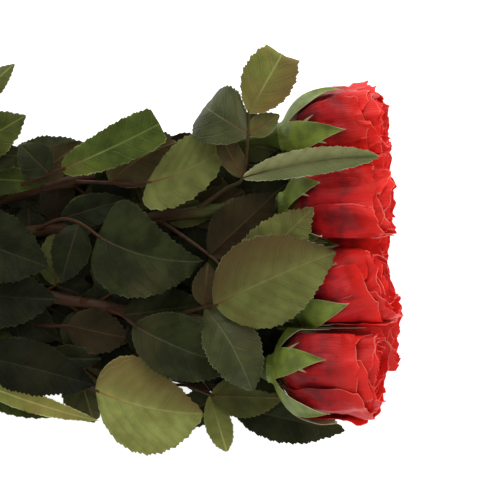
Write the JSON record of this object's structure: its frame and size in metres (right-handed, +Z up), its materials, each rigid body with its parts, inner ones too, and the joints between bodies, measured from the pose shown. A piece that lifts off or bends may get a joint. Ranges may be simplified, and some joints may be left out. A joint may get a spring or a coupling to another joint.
{
  "type": "bunch of cut roses",
  "caption": "Tied bunch of red cut roses lying on its side, heads level, with thorny stems, sepals and serrated compound leaves.",
  "frame": {"origin": "middle of the bunch's footprint, on the surface it lies on", "axes": "+X along the stems towards the heads, +Z up from the surface, +Y across the bunch"},
  "size_m": [0.4118, 0.2235, 0.0936],
  "materials": {
    "petal": "soft satin petal, deep red with brighter rims",
    "leaf": "waxy dark green leaf, paler olive underneath, on a red-brown to green stem",
    "raffia": "matte dry palm fibre"
  },
  "bodies": {
    "root": {"rose_a_bloom": "petal", "rose_b_bloom": "petal", "rose_c_bloom": "petal", "rose_d_bloom": "petal", "rose_e_bloom": "petal", "rose_f_bloom": "petal", "rose_g_bloom": "petal", "rose_a_leafy_stem": "leaf", "rose_b_leafy_stem": "leaf", "rose_c_leafy_stem": "leaf", "rose_d_leafy_stem": "leaf", "rose_e_leafy_stem": "leaf", "rose_f_leafy_stem": "leaf", "rose_g_leafy_stem": "leaf", "tie": "raffia"}
  },
  "joints": []
}
